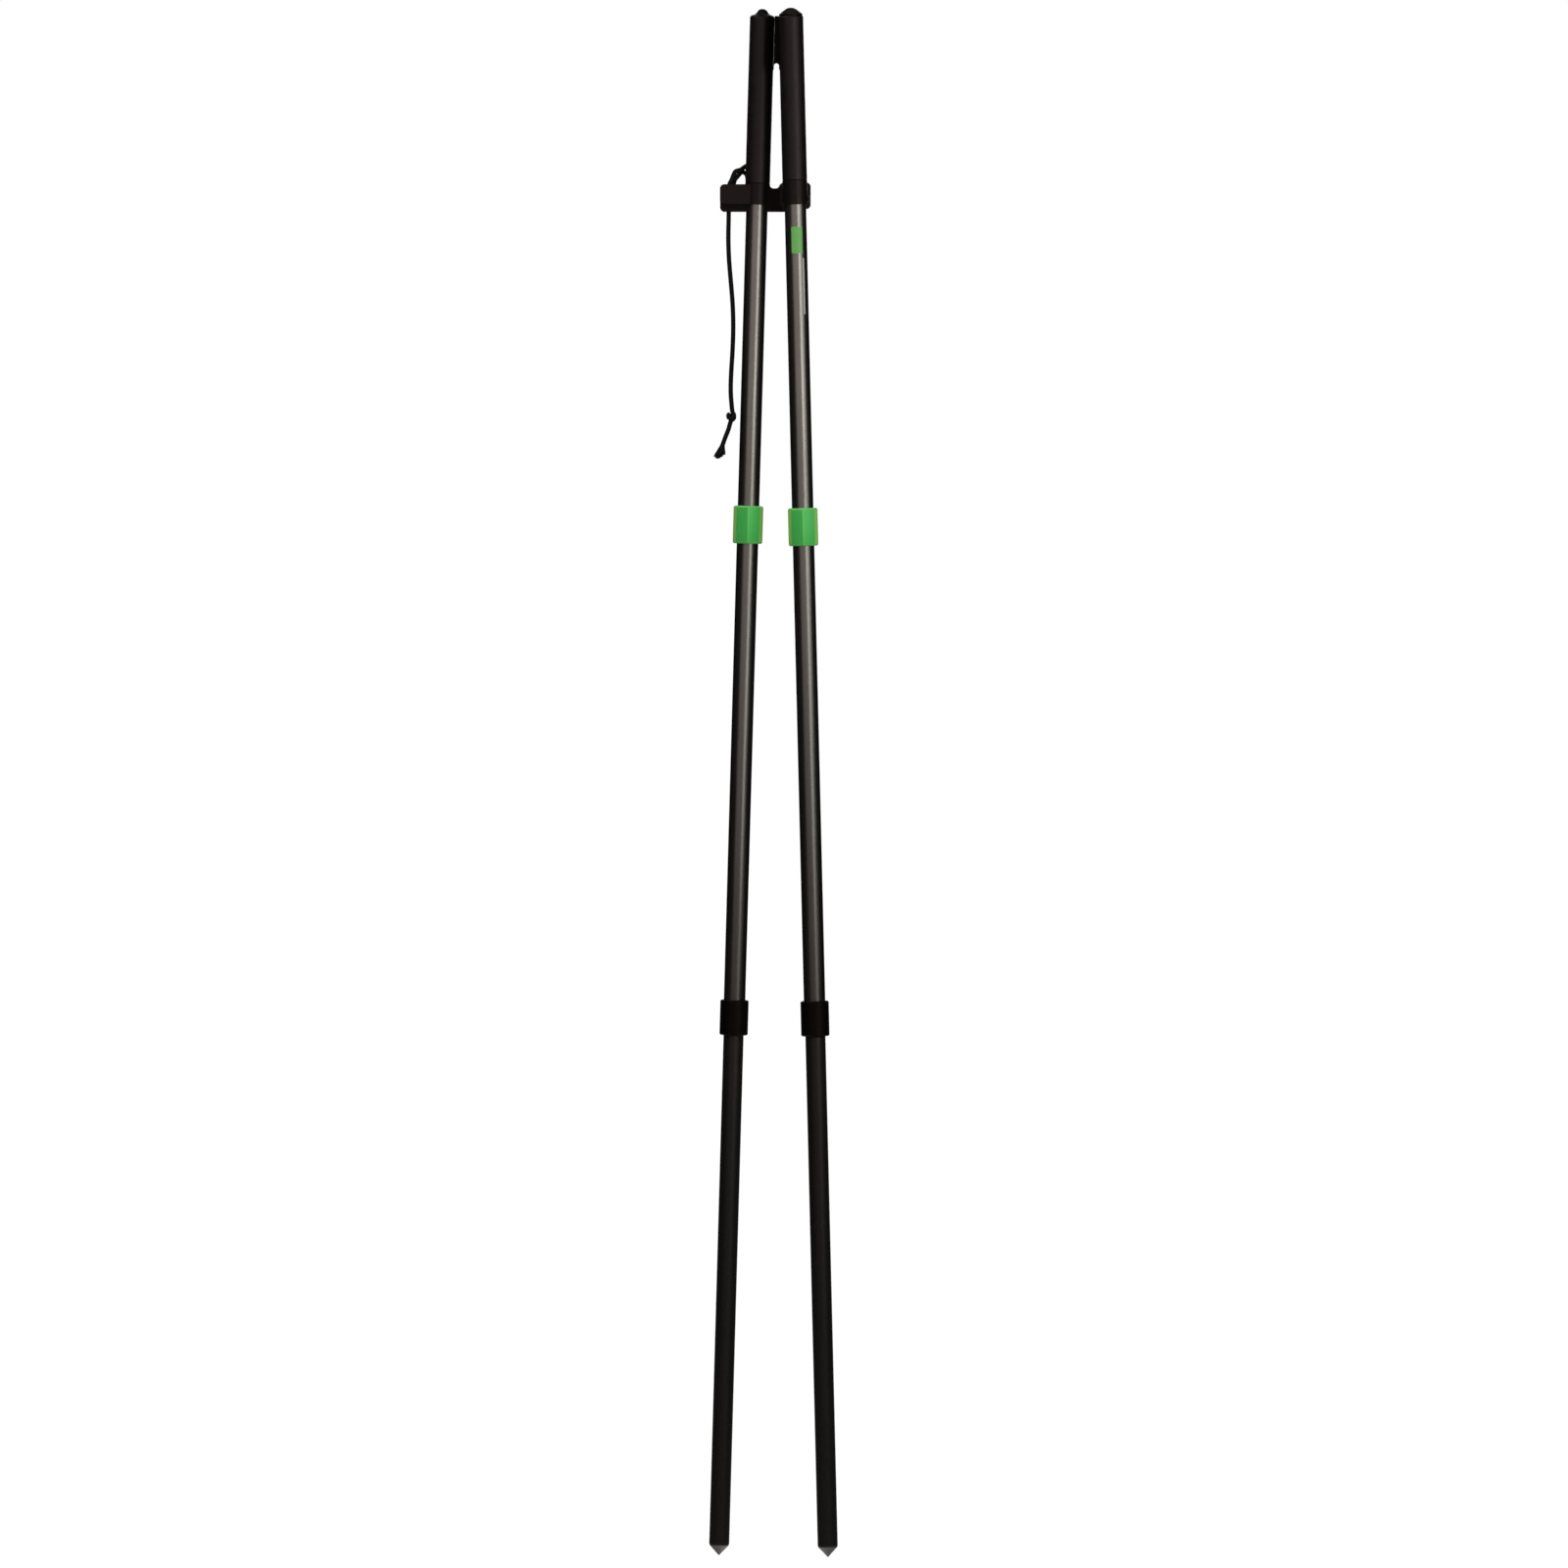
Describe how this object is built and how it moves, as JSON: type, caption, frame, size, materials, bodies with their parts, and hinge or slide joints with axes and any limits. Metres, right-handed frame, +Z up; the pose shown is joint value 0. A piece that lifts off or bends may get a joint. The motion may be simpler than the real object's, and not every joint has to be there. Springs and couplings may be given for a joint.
{
  "type": "bipod field rest",
  "caption": "Bipod field rest: shock-corded take-down legs joined near the top by a pivoting bracket, with padded uprights that cross into a V.",
  "frame": {"origin": "on the ground, midway between the two tips and between the two legs' planes", "axes": "+Z up the legs, +X from the left leg to the right leg, -Y to the front, where the right leg lies"},
  "size_m": [0.1314, 0.0686, 1.58],
  "materials": {
    "anodised_tube": "satin gunmetal anodised, darker towards the foot",
    "black_tube": "matte black coated tube",
    "ferrule": "plain drawn aluminium",
    "grip_foam": "fine closed-cell foam, soft sheen",
    "cap_rubber": "smooth moulded rubber",
    "moulded_black": "lightly textured black nylon",
    "green_sleeve": "bright green moulded plastic, bevels lighter",
    "tip_steel": "turned steel",
    "steel": "zinc-plated steel",
    "brass": "knurled brass",
    "washer_nylon": "natural nylon",
    "cord": "black braided cord"
  },
  "bodies": {
    "left_upper_leg": {"left_grip": "grip_foam", "left_top_cap": "cap_rubber", "left_upper_tube": "anodised_tube", "left_green_sleeve": "green_sleeve", "left_upper_cord_anchor": "moulded_black", "left_shock_cord": "cord", "left_collar_screw": "steel", "bracket_body": "moulded_black", "bolt_head_washer": "steel", "tie_cord_loop": "cord", "tie_cord_inner_loop": "cord", "tie_cord_tail": "cord", "tie_cord_knot": "cord", "tie_cord_short_end": "cord", "tie_cord_flare": "cord"},
    "left_middle_section": {"left_upper_ferrule": "ferrule", "left_middle_tube": "anodised_tube", "left_black_sleeve": "moulded_black"},
    "left_lower_section": {"left_lower_ferrule": "ferrule", "left_lower_tube": "black_tube", "left_ground_tip": "tip_steel", "left_lower_cord_anchor": "moulded_black"},
    "right_upper_leg": {"right_grip": "grip_foam", "right_top_cap": "cap_rubber", "right_upper_tube": "anodised_tube", "right_green_sleeve": "green_sleeve", "right_upper_cord_anchor": "moulded_black", "right_shock_cord": "cord", "right_collar_screw": "steel", "right_collar": "moulded_black", "pivot_insert": "brass", "pivot_bolt": "steel", "pivot_washer": "washer_nylon", "upright_stop": "cap_rubber"},
    "right_middle_section": {"right_upper_ferrule": "ferrule", "right_middle_tube": "anodised_tube", "right_black_sleeve": "moulded_black"},
    "right_lower_section": {"right_lower_ferrule": "ferrule", "right_lower_tube": "black_tube", "right_ground_tip": "tip_steel", "right_lower_cord_anchor": "moulded_black"}
  },
  "joints": [
    {"name": "leg_spread", "type": "hinge", "parent": "left_upper_leg", "child": "right_upper_leg", "pos_m": [0.0193, 0, 1.3885], "axis": [0, 1, 0], "range_deg": [0, 45]},
    {"name": "left_middle_pull", "type": "slide", "parent": "left_upper_leg", "child": "left_middle_section", "axis": [-0.0262, 0, -0.9997], "range_m": [0, 0.075], "stiffness_N_per_m": 100, "springref_m": -0.2, "deforming": ["left_shock_cord"]},
    {"name": "left_lower_pull", "type": "slide", "parent": "left_middle_section", "child": "left_lower_section", "axis": [-0.0262, 0, -0.9997], "range_m": [0, 0.075], "stiffness_N_per_m": 100, "springref_m": -0.2, "deforming": ["left_shock_cord"]},
    {"name": "right_middle_pull", "type": "slide", "parent": "right_upper_leg", "child": "right_middle_section", "axis": [0.0262, 0, -0.9997], "range_m": [0, 0.075], "stiffness_N_per_m": 100, "springref_m": -0.2, "deforming": ["right_shock_cord"]},
    {"name": "right_lower_pull", "type": "slide", "parent": "right_middle_section", "child": "right_lower_section", "axis": [0.0262, 0, -0.9997], "range_m": [0, 0.075], "stiffness_N_per_m": 100, "springref_m": -0.2, "deforming": ["right_shock_cord"]}
  ]
}
